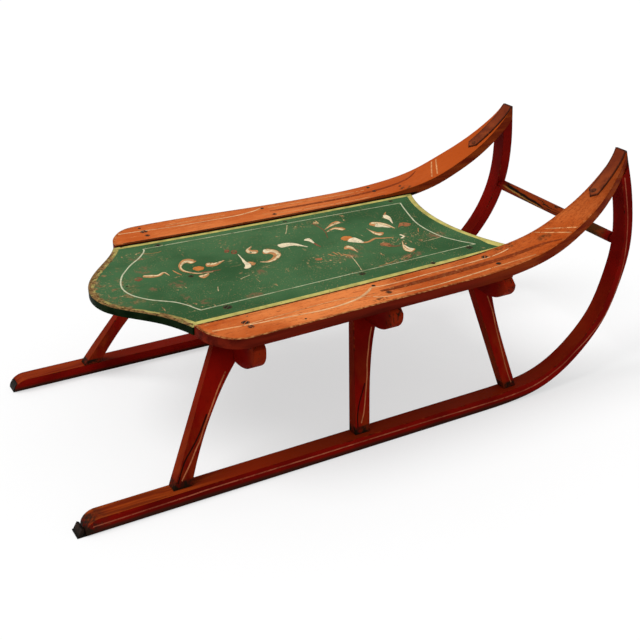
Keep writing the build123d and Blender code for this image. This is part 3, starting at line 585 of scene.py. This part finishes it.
# colour, then rows of x, y and width in mm along each comma stroke
STROKES = [
    ("salmon", [(-260, 39, 7.2), (-251, 34, 10.3), (-241, 31, 6.6), (-230, 37, 4.2), (-227, 23, 1.2)]),
    ("brown", [(-274, 34, 9.5), (-271, 33, 15.5), (-267, 32, 9.0)]),
    ("salmon", [(-216, 38, 1.2), (-214, 27, 2.8), (-211, 16, 1.6)]),
    ("salmon", [(-178, 52, 13.8), (-184, 61, 13.9), (-194, 56, 8.0), (-202, 44, 4.7), (-203, 29, 4.5),
                (-196, 17, 3.8), (-186, 8, 3.6), (-167, 4, 2.4)]),
    ("orange", [(-185, 29, 11.0), (-181, 26, 17.0), (-176, 23, 12.0)]),
    ("brown", [(-182, 9, 4.1), (-170, 7, 4.1), (-155, 5, 2.4)]),
    ("salmon", [(-163, 31, 15.0), (-155, 28, 13.0), (-146, 30, 6.5), (-135, 35, 1.9)]),
    ("salmon", [(-188, -5, 13.0), (-182, -3, 9.3), (-175, 1, 2.6)]),
    ("brown", [(-120, 60, 6.0), (-117.5, 64.5, 8.0), (-115, 69, 6.0)]),
    ("brown", [(-112, 50.5, 7.5), (-109.5, 56, 9.5), (-107, 61.5, 7.0)]),
    ("cream", [(-121, -8, 5.0), (-116, -6, 9.0), (-112, 2, 8.5), (-112, 13, 5.2), (-110, 27, 2.7),
               (-108, 45, 1.2)]),
    ("salmon", [(-106, -3, 5.0), (-103, 3, 7.0), (-107, 10, 4.0)]),
    ("salmon", [(-81, 40, 14.5), (-87, 45, 14.3), (-87, 54, 6.5), (-78, 62, 2.6)]),
    ("salmon", [(-66, 34, 21.0), (-59, 27, 17.0), (-58, 14, 12.0), (-68, 2, 9.5), (-81, -3, 6.6), (-92, 2, 1.9)]),
    ("cream", [(-67, 34, 16.9), (-60, 32, 11.0), (-57, 24, 2.9)]),
    ("cream", [(-38, 42, 14.6), (-28, 42, 14.4), (-17, 37, 9.2), (-10, 27, 4.2), (-4, 18, 1.7)]),
    ("cream", [(9, 45, 11.8), (11, 38, 6.7), (11, 27, 2.9)]),
    ("brown", [(11, 27, 3.4), (12, 16, 3.6), (13, 8, 1.9)]),
    ("salmon", [(86, 85, 11.5), (76, 82, 9.7), (64, 75, 4.3), (52, 67, 1.2)]),
    ("salmon", [(78, 53, 9.5), (74, 60, 11.1), (66, 64, 5.9), (50, 57, 1.9)]),
    ("brown", [(48, 101, 1.8), (50, 78, 2.0), (48, 58, 1.5), (39, 33, 1.1)]),
    ("orange", [(61, 22, 15.0), (64, 18, 20.0), (68, 13, 15.0)]),
    ("cream", [(68, 9, 19.9), (73, 0, 13.8), (77, -9, 5.1)]),
    ("salmon", [(75, -9, 5.7), (86, -11, 4.9), (101, -5, 4.1), (113, -10, 4.0), (129, -15, 2.0)]),
    ("salmon", [(46, -14, 15.8), (50, -19, 10.0), (51, -30, 3.3), (51, -39, 1.2)]),
    ("salmon", [(119, 7, 15.8), (114, 13, 9.8), (112, 24, 4.2), (111, 37, 1.3)]),
    ("salmon", [(129, 52, 15.5), (136, 44, 19.7), (144, 36, 11.8), (148, 25, 5.1), (150, 16, 1.6)]),
    ("cream", [(133, 41, 15.3), (139, 34, 9.3), (145, 24, 3.2)]),
    ("cream", [(166, 73, 6.9), (164, 63, 10.9), (163, 52, 4.9), (158, 36, 1.3)]),
    ("salmon", [(175, 85, 1.2), (168, 77, 3.2), (163, 67, 4.6)]),
    ("clay", [(175, 18, 15.2), (171, 25, 14.1), (163, 22, 5.1), (156, 16, 1.0)]),
    ("cream", [(143, -11, 3.7), (144, -20, 3.1), (137, -24, 3.3)]),
    ("clay", [(98, -31, 12.5), (103, -34, 14.0), (106, -44, 6.0)]),
    ("brown", [(105, -40, 7.0), (110, -46, 4.0), (119, -49, 2.6)]),
    ("salmon", [(125, -73, 16.6), (121, -66, 11.2), (123, -54, 4.6), (131, -36, 1.1)]),
    ("cream", [(127, -71, 8.1), (125, -62, 4.3), (126, -50, 1.5)]),
    ("brown", [(124, -83, 1.0), (104, -97, 1.5), (86, -103, 2.1), (71, -100, 1.8)]),
    ("salmon", [(9, -23, 1.9), (12, -31, 2.9)]),
    ("salmon", [(19, -20, 1.7), (20, -33, 2.5)]),
    ("salmon", [(25, -26, 1.4), (24, -39, 2.1)]),
    ("salmon", [(28, -35, 2.9), (37, -49, 2.8)]),
    # long thin scratches through to the primer
    ("pale", [(35, -46, 1.1), (29, -74, 1.1), (22, -100, 1.1)]),
    ("salmon", [(51, -100, 1.2), (65, -99, 1.2), (79, -96, 1.2)]),
    ("salmon", [(94, -92, 1.3), (106, -90, 1.3), (116, -85, 1.3)]),
    ("pale", [(10, 115, 1.0), (2, 100, 1.0), (-9, 82, 1.0)]),
    ("salmon", [(182, -1, 1.3), (173, -16, 1.3)]),
    ("pale", [(160, -52, 0.9), (178, -52, 0.9), (197, -49, 0.9)]),
    ("salmon", [(-234, 120, 1.2), (-222, 115, 1.2), (-209, 113, 1.2), (-203, 116, 1.2)]),
    ("pale", [(-183, -49, 1.1), (-188, -62, 1.1)]),
    ("pale", [(-144, -40, 1.0), (-135, -37, 1.0), (-126, -34, 1.0)]),
    # one more dab, between the curls
    ("clay", [(-15, -30, 6.5), (-12.5, -33, 9.5), (-10, -36, 6.5)]),
]
HUES = list(on_green)
LIGHT_WIDTH, LIGHT_SHIFT = 0.52, 0.16  # of a stroke's paler side, as shares of the stroke's width
ornament = Skin("deck_ornament", list(on_green.values()))
for hue, rows in STROKES:
    # cream lies over the others where they cross
    ornament.strip(rows, HUES.index(hue), proud=0.00015 if hue == "cream" else 0.00010)
    if hue == "salmon" and max(row[2] for row in rows) > 9 and len(rows) > 2:
        # a paler second stroke laid along one side of the first, as a loaded brush leaves it
        light = []
        for j, (x, y, wide) in enumerate(rows):
            ahead, behind = rows[min(j + 1, len(rows) - 1)], rows[max(j - 1, 0)]
            run = Vector((ahead[0] - behind[0], ahead[1] - behind[1])).normalized()
            light.append((x - run[1] * wide * LIGHT_SHIFT, y + run[0] * wide * LIGHT_SHIFT, wide * LIGHT_WIDTH))
        ornament.strip(light, HUES.index("pale"), proud=0.00016)
ornament.done()

# thin cream line inside the deck's edge, x and y in mm
REAR_LINE = [(-223.7, 136.6), (-225.6, 129), (-233, 117.6), (-244.6, 104), (-262, 88), (-276, 71), (-287, 56),
             (-296, 37), (-301, 20), (-302, 3), (-298, -15), (-290.5, -29), (-280, -43), (-264.5, -57),
             (-254, -67), (-244, -83), (-237.6, -99), (-233.9, -107.3)]
FRONT_LINE = [(217.5, 108.7), (210, 86), (201, 56), (192, 20), (190, -14), (194, -48), (206, -76), (220.9, -101)]
pinstripe = Skin("deck_pinstripe", [
    over("pinstripe_on_green", (0.52, 0.56, 0.34), green_coat, (0.56, 0.64), faded=0.45),
    over("pinstripe_rear", (0.60, 0.60, 0.40), green_coat, (0.62, 0.70))])
pinstripe.strip([(x, y, 2.4) for x, y in REAR_LINE], 1)
pinstripe.strip([(x, y, 2.3) for x, y in FRONT_LINE], 1)
pinstripe.strip([(-223.7, 136.6, 2.2), (0, 122.4, 2.0), (217.5, 108.7, 2.0)], 0)
pinstripe.strip([(-233.9, -107.3, 2.2), (0, -104.0, 1.9), (220.9, -101.0, 1.9)], 0)
pinstripe.done()


# ---------------------------------------------------------------- yellow band round the top of the deck
def band_coat(p):
    _, rough, height = green_coat(p)
    rear = p.step(p.split(p.at)[0], -0.250, -0.285)
    chips = p.step(p.noise(190, 7, (0.8, 0.8, 1), 0.72, 91.0), 0.60, 0.66)
    colour = p.mix(chips, p.mix(p.step(p.noise(60, 5, shift=92.0), 0.35, 0.7), YELLOW, YELLOW_DARK), BAND_CHIP)
    colour = p.mix(rear, colour, YELLOW_REAR, 0.55)
    ruined = p.times(rear, p.step(p.noise(70, 6, shift=93.0, rough=0.7), 0.42, 0.54))
    wood = p.mix(p.step(p.noise(230, 6, shift=94.0, rough=0.7), 0.40, 0.60), BAND_WOOD_DARK, BAND_WOOD)
    return p.mix(ruined, colour, wood), p.plus(rough, p.times(ruined, 0.2)), height


def rim_coat(p):
    _, rough, height = green_coat(p)
    wood = p.mix(p.step(p.noise(190, 7, shift=95.0, rough=0.72), 0.36, 0.62), RIM_WOOD_DARK, RIM_WOOD)
    left = p.step(p.noise(90, 6, shift=96.0, rough=0.7), 0.58, 0.66)
    return p.mix(left, wood, YELLOW_LEFT), p.plus(rough, 0.2), height


# painted shade: the yellow band darkened where the rails stand above the deck
def seam_shade_coat(p):
    base, rough, height = band_coat(p)
    return p.mix(p.step(p.noise(120, 5, shift=97.0), 0.30, 0.55, 0.55, 0.95), base, SEAM_SHADE), rough, height


def deck_outline():
    """Corners of the deck's flat top, counter-clockwise from the rearmost."""
    body = bmesh.new()
    body.from_mesh(nodes["deck"].data)
    bmesh.ops.remove_doubles(body, verts=body.verts, dist=1e-6)
    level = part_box("deck")[1][2]
    top = {f for f in body.faces if f.normal.z > 0.9 and all(abs(v.co.z - level) < 2e-4 for v in f.verts)}
    border = {}
    for f in top:
        for corner in f.loops:
            if not all(g in top for g in corner.edge.link_faces):
                border[corner.vert.index] = (corner.link_loop_next.vert.index, corner.vert.co.copy())
    body.free()
    # a fixed first corner, so that the jitter falls in the same place each run
    start = min(border, key=lambda corner: tuple(border[corner][1]))
    found, here = [], start
    while not found or here != start:
        here, at = border[here]
        found.append(at)
    return found


def dense(points, spacing):
    found = []
    for a, b in zip(points, points[1:] + points[:1]):
        count = max(1, int((b - a).length / spacing))
        found += [a.lerp(b, i / count) for i in range(count)]
    return found


def inset(points, widths):
    """The closed, counter-clockwise points moved inward by their widths."""
    found = []
    for i, (at, wide) in enumerate(zip(points, widths)):
        before = (at - points[i - 1]).normalized()
        after = (points[(i + 1) % len(points)] - at).normalized()
        left = Vector((-(before.y + after.y), before.x + after.x, 0)).normalized()
        square = Vector((-before.y, before.x, 0))
        stretch = min(1.0 / max(left.dot(square), 0.35), 2.2)
        found.append(at + left * wide * stretch)
    return found


def at_rear(at):
    # 0 along the sides, 1 round the rear
    return min(max((REAR_RIM - at.x) / 0.03, 0), 1)


def band_width(at):
    # a little wider round the rear, and widest along the deck's right side
    back = at_rear(at)
    right_side = min(max((-0.085 - at.y) / 0.02, 0), 1) * (1 - back)
    return 0.0086 + 0.0014 * back + 0.0060 * right_side


def beside_rail(at):
    return abs(at.y) > 0.09 and -0.250 < at.x < 0.212


def outer_slot(at):
    # of the band's outermost strip: bare at the rear, painted shade along the rails
    return 1 if at.x < -0.268 else 2 if beside_rail(at) else 0


brink = dense(deck_outline(), 0.006)
random.seed(7)
jag = [random.uniform(-1, 1) for _ in brink]
ring_outer = inset(brink, [0.0004] * len(brink))
ring_inner = inset(brink, [band_width(at) for at in brink])
for at, jitter in zip(ring_inner, jag):
    at.x += 0.0012 * at_rear(at) * jitter
# width of the painted shade strip beside the rails
SEAM_WIDTH = 0.0014
THIN, PROUD, SUNK = (Vector((0, 0, rise)) for rise in (0.00003, 0.00012, -0.0002))
band = Skin("deck_border_band", [
    material("yellow_band", band_coat), material("bare_rim", rim_coat), material("seam_shade", seam_shade_coat)])
for outer, inner, jitter in zip(ring_outer, ring_inner, jag):
    share = SEAM_WIDTH / (inner - outer).length if beside_rail(outer) else 0.55 + 0.12 * jitter
    band.verts += [outer + THIN, outer.lerp(inner, share) + PROUD, inner + THIN, inner + SUNK, outer + SUNK]
for i, at in enumerate(brink):
    a, b = 5 * i, 5 * ((i + 1) % len(brink))
    for j in range(5):
        band.face((a + j, b + j, b + (j + 1) % 5, a + (j + 1) % 5), 0 if j else outer_slot(at))
band.done()

# ---------------------------------------------------------------- lines on the rails
rails = Skin("rail_lines", [
    over("rail_line_cream", (0.84, 0.50, 0.25), orange_coat, (0.58, 0.66), faded=0.35),
    over("rail_line_faint", (0.78, 0.37, 0.15), orange_coat, (0.54, 0.62), faded=0.5),
    over("rail_stripe_dark", (0.19, 0.030, 0.008), orange_coat, (0.56, 0.64), 0.78),
    # the last of these is a painted shade line along the rails' inner corners
    over("rail_seam_shade", (0.018, 0.005, 0.003), orange_coat, (0.64, 0.74), 0.95)])
# slot, then rows of x, y and width in mm, right rail first
RAIL_LINES = [
    (1, [(-249, -181, 3.4), (-226, -184, 3.2), (-205, -186, 2.8), (-181, -184, 2.2), (-137, -182, 2.0),
         (-95, -179, 2.0), (-60, -179, 2.0), (-32, -184, 1.8), (-17, -191, 1.8)]),
    (0, [(-199, -188, 2.4), (-166, -191, 2.6), (-127, -194, 2.8), (-95, -197, 3.0), (-64, -195, 3.4),
         (-40, -190, 4.0), (-22, -182, 4.4), (-9, -173, 4.2), (-2, -167, 3.0)]),
    (0, [(-1, -166, 2.4), (20, -169, 2.2), (48, -169, 2.2), (97, -166, 2.2), (158, -164, 2.2), (202, -164, 2.2),
         (221, -162, 2.2), (240, -158, 2.0)]),
    (2, [(5, -183, 5.0), (29, -184, 9.0), (94, -182, 10.5), (161, -179, 10.5), (218, -179, 9.5), (270, -180, 7.5),
         (292, -184, 5.0), (310, -194, 2.6)]),
    (0, [(-14, -194, 1.8), (-2, -201, 2.0), (19, -204, 2.4), (78, -205, 2.6), (130, -201, 2.6), (180, -197, 2.6)]),
    (1, [(183, -197, 2.4), (223, -197, 2.4), (258, -200, 1.8)]),
    (1, [(313, -150, 2.4), (328, -172, 2.4), (342, -194, 2.2)]),
    (1, [(298, -145, 2.4), (314, -170, 2.4), (330, -196, 2.2)]),
    (0, [(-239, 205, 2.6), (-208, 201, 2.6), (-158, 193, 2.2), (-91, 188, 2.4), (-45, 186, 2.8), (-15, 190, 3.0),
         (2, 196, 2.0)]),
    (1, [(-162, 202, 1.8), (-111, 202, 1.8), (-61, 197, 1.6)]),
    (2, [(11, 177, 3.0), (37, 175, 6.0), (109, 171, 7.0), (204, 169, 7.0), (250, 171, 5.5), (278, 177, 4.0),
         (297, 188, 2.0)]),
    (1, [(-6, 171, 1.8), (13, 163, 1.8), (55, 157, 2.0), (127, 152, 2.0), (182, 149, 1.8)]),
    (1, [(15, 194, 1.8), (60, 190, 2.0), (127, 186, 2.0), (190, 182, 1.8)]),
    (1, [(330, 188, 2.4), (317, 168, 2.4), (303, 145, 2.2)]),
    (1, [(338, 187, 2.4), (327, 168, 2.4), (314, 145, 2.2)]),
]
for slot, rows in RAIL_LINES:
    rails.strip(rows, slot)
# painted shade: a dark line along each rail's inner corner, where it stands above the deck
for sign in SIDES.values():
    rows = sorted((at.x / MM, at.y / MM + 2.3 * sign, 2.6) for at in brink if beside_rail(at) and at.y * sign > 0)
    rails.strip(rows[::5], 3)
rails.done()

# ---------------------------------------------------------------- lines on the runners and legs
runners = Skin("runner_lines", [
    over("runner_line", (0.46, 0.12, 0.060), runner_coat, (0.56, 0.66), 0.85, faded=0.6)])
# x and z in mm along the outer side
RUNNER_LINE = [(-446, 11.2), (-382, 11.9), (-311, 12.8), (-275, 13.6), (-145, 13.2), (54, 13.0), (161, 12.0),
               (220, 12.6), (268, 18.0), (314, 33.8), (346, 52.0), (375, 70.0), (406, 96.0), (430, 134.0),
               (447, 178.0), (454, 225.0), (454, 262.0), (449, 311.0)]
for sign in SIDES.values():
    runners.strip([(x, z, 1.9) for x, z in RUNNER_LINE], 0, "sides", (0, -sign, 0))
runners.done()

legs = Skin("leg_lines", [
    over("leg_line", (0.50, 0.15, 0.060), leg_coat, (0.60, 0.68), 0.9, faded=0.4),
    over("leg_groove", (0.014, 0.003, 0.002), leg_coat, (0.62, 0.70), 0.9)])
# slot, rows of x and z, and width in mm
LEG_LINES = [
    (0, [(-316, 30), (-301, 47), (-289, 63), (-280, 74), (-272, 87), (-255, 111), (-248, 121), (-240, 132),
         (-226, 149)], 1.9),
    (0, [(-37.5, 34), (-31, 46), (-25, 63), (-21, 76), (-15, 95), (-11, 112), (-5, 129), (0, 143), (6, 156)], 1.9),
    (0, [(227, 27.5), (225, 35), (222, 52), (220, 73), (218, 91), (216, 111), (215, 130), (213, 143),
         (210, 157)], 1.9),
    (1, [(-322, 28), (-314, 42), (-306, 54), (-294, 66), (-281, 80), (-272, 92), (-264, 103)], 2.2),
    (1, [(-44, 30), (-41, 46), (-35, 61), (-28, 73), (-21, 85)], 1.9),
]
LEFT_REAR_SHIFT = 11.0  # mm that the left rear leg stands ahead of the right one
for side, sign in SIDES.items():
    for slot, rows, wide in LEG_LINES:
        shift = LEFT_REAR_SHIFT if side == "left" and rows[0][0] < -300 else 0.0
        legs.strip([(x + shift, z, wide) for x, z in rows], slot, "legs", (0, -sign, 0))
legs.done()


# ---------------------------------------------------------------- screws, bolts and rivets
def iron_head():
    p = Paint("iron_head")
    pits = p.noise(700, 6, shift=101.0, rough=0.7)
    colour = p.mix(p.step(pits, 0.42, 0.62), (0.016, 0.013, 0.011), (0.060, 0.032, 0.018))
    return p.finish(colour, p.step(pits, 0.3, 0.7, 0.40, 0.70), pits, relief=0.0002, metal=0.45)


def iron_stain():
    p = Paint("iron_stain")
    tone = p.step(p.noise(320, 6, shift=103.0, rough=0.7), 0.40, 0.60)
    return p.finish(p.mix(tone, (0.030, 0.022, 0.014), (0.090, 0.050, 0.022)), 0.7)


iron, stain = iron_head(), iron_stain()
# share of the radius and share of the rise: a stained rim, a groove and the dome
HEAD_PROFILE = [(1.28, 0.02), (1.06, 0.05), (1.0, -0.25), (0.93, 0.35), (0.75, 0.70), (0.50, 0.90), (0.25, 0.98)]
HEAD_STEPS = 28
HEAD_SUNK = 0.0006
SLOT_HALF, SLOT_DEEP = 0.0007, 0.0007


def head(centre, normal, radius, turn):
    """Domed head with a stained rim; a screw is flatter and slotted at its turn."""
    rise = 0.0008 if turn is None else 0.0005
    body = bmesh.new()
    rows = []
    for share, up in HEAD_PROFILE:
        rows.append([body.verts.new((share * radius * math.cos(2 * math.pi * k / HEAD_STEPS),
                                     share * radius * math.sin(2 * math.pi * k / HEAD_STEPS),
                                     up * rise)) for k in range(HEAD_STEPS)])
    crown = body.verts.new((0, 0, rise))
    under = [body.verts.new((v.co.x, v.co.y, -HEAD_SUNK)) for v in rows[0]]
    pairs = [(k, (k + 1) % HEAD_STEPS) for k in range(HEAD_STEPS)]
    for a, b in zip(rows, rows[1:]):
        for k, after in pairs:
            body.faces.new((a[k], a[after], b[after], b[k]))
    for k, after in pairs:
        body.faces.new((rows[-1][k], rows[-1][after], crown))
        body.faces.new((under[after], rows[0][after], rows[0][k], under[k]))
    body.faces.new(under[::-1])
    if turn is not None:
        for v in body.verts:
            if abs(v.co.x * math.sin(turn) - v.co.y * math.cos(turn)) < SLOT_HALF and v.co.z > 0.3 * rise:
                v.co.z -= SLOT_DEEP
    for f in body.faces:
        f.material_index = 1 if all(v.co.xy.length > 1.02 * radius for v in f.verts) else 0
        f.smooth = False
    tilt = Vector((0, 0, 1)).rotation_difference(normal).to_matrix().to_4x4()
    body.transform(Matrix.Translation(centre) @ tilt)
    return body


def place_heads(name, table, tree="top", crown=iron):
    joined = bmesh.new()
    for x, y, radius, turn in table:
        centre, normal = onto(tree, Vector((x, y, RAY_START)) * MM, Vector((0, 0, -1)))
        body = head(centre, normal, radius * MM, turn)
        mesh = bpy.data.meshes.new("one_head")
        body.to_mesh(mesh)
        body.free()
        joined.from_mesh(mesh)
        bpy.data.meshes.remove(mesh)
    mesh = bpy.data.meshes.new(name)
    bmesh.ops.recalc_face_normals(joined, faces=joined.faces)
    joined.to_mesh(mesh)
    joined.free()
    mesh.materials.append(crown)
    mesh.materials.append(stain)
    add_piece(name, mesh)


# x, y and radius in mm, and the direction of a screw's slot
place_heads("rail_bolts", [
    (-201, -179, 4.6, 0.7), (-200, -194, 3.6, 2.0), (-127, -209, 1.4, None), (5, -162, 2.4, None),
    (12, -192, 3.6, 5.9), (196, -160, 4.2, 7.2), (199, -190, 3.2, None),
    (-200, 196, 4.8, 11.1), (-201, 178, 3.4, 12.4), (-201, 213, 2.0, None), (5, 195, 2.6, None),
    (11, 161, 3.0, None), (202, 168, 3.4, None), (202, 188, 2.4, None), (247, 158, 2.0, None)])
place_heads("deck_screws", [
    (-199, -117, 5.2, 0.7), (16, -112, 3.8, 2.0), (205, -108, 4.2, 3.3), (125, -131, 3.4, None),
    (-199, 139, 3.8, 5.9), (14, 130, 2.8, 7.2), (208, 124, 3.0, 8.5), (-201, 5, 3.2, 9.8),
    (-294, 17, 1.3, None)])
place_heads("strap_rivets", [(400, -152, 3.6, None), (392, 152, 3.6, None)], "strap", mats["shoe"])

# ---------------------------------------------------------------- floor, light and camera
mesh = bpy.data.meshes.new("floor")
mesh.from_pydata([(-9, -6, 0), (9, -6, 0), (9, 12, 0), (-9, 12, 0)], [], [(0, 1, 2, 3)])
floor = add_object("floor", mesh)
# partly self-lit where the camera sees it, so that it fades into the white background
floor_mat = bpy.data.materials.new("pale_floor")
floor_mat.use_nodes = True
tree = floor_mat.node_tree
paint = tree.nodes["Principled BSDF"]
paint.inputs["Base Color"].default_value = (0.95, 0.95, 0.95, 1)
paint.inputs["Roughness"].default_value = 0.9
paint.inputs["Specular IOR Level"].default_value = 0.0
share = tree.nodes.new("ShaderNodeMath")
share.operation = "MULTIPLY"
share.inputs[1].default_value = 0.55
lifted = tree.nodes.new("ShaderNodeMixShader")
tree.links.new(tree.nodes.new("ShaderNodeLightPath").outputs["Is Camera Ray"], share.inputs[0])
tree.links.new(share.outputs[0], lifted.inputs[0])
tree.links.new(paint.outputs[0], lifted.inputs[1])
tree.links.new(tree.nodes.new("ShaderNodeEmission").outputs[0], lifted.inputs[2])
tree.links.new(lifted.outputs[0], tree.nodes["Material Output"].inputs["Surface"])
floor.data.materials.append(floor_mat)

# white to the camera, dimmer as a light
world = bpy.data.worlds.new("studio")
world.use_nodes = True
tree = world.node_tree
level = tree.nodes.new("ShaderNodeMapRange")
level.inputs["To Min"].default_value = 0.62
level.inputs["To Max"].default_value = 1.0
tree.links.new(tree.nodes.new("ShaderNodeLightPath").outputs["Is Camera Ray"], level.inputs["Value"])
tree.links.new(level.outputs["Result"], tree.nodes["Background"].inputs["Strength"])
tree.nodes["Background"].inputs["Color"].default_value = (1, 1, 1, 1)
bpy.context.scene.world = world

sun = bpy.data.lights.new("key", "SUN")
sun.energy = 1.75
sun.angle = math.radians(38)
add_object("key", sun).rotation_euler = Vector((0.55, -0.16, -1.0)).to_track_quat("-Z", "Y").to_euler()

# camera fitted to the sled's edges
AZ, EL, ROLL = math.radians(-28.032), math.radians(25.824), math.radians(-0.919)
look = Vector((-math.sin(AZ) * math.cos(EL), math.cos(AZ) * math.cos(EL), -math.sin(EL)))
right = look.cross(Vector((0, 0, 1))).normalized()
up = right.cross(look)
across = math.cos(ROLL) * right + math.sin(ROLL) * up
upward = -math.sin(ROLL) * right + math.cos(ROLL) * up
lens = bpy.data.cameras.new("camera")
lens.lens = 67.46
lens.sensor_width = 36
camera = add_object("camera", lens)
stand = Matrix((across, upward, -look)).transposed().to_4x4()
stand.translation = Vector((-0.7819, -1.4788, 0.9135))
camera.matrix_world = stand
bpy.context.scene.camera = camera
bpy.context.scene.view_settings.view_transform = "Standard"
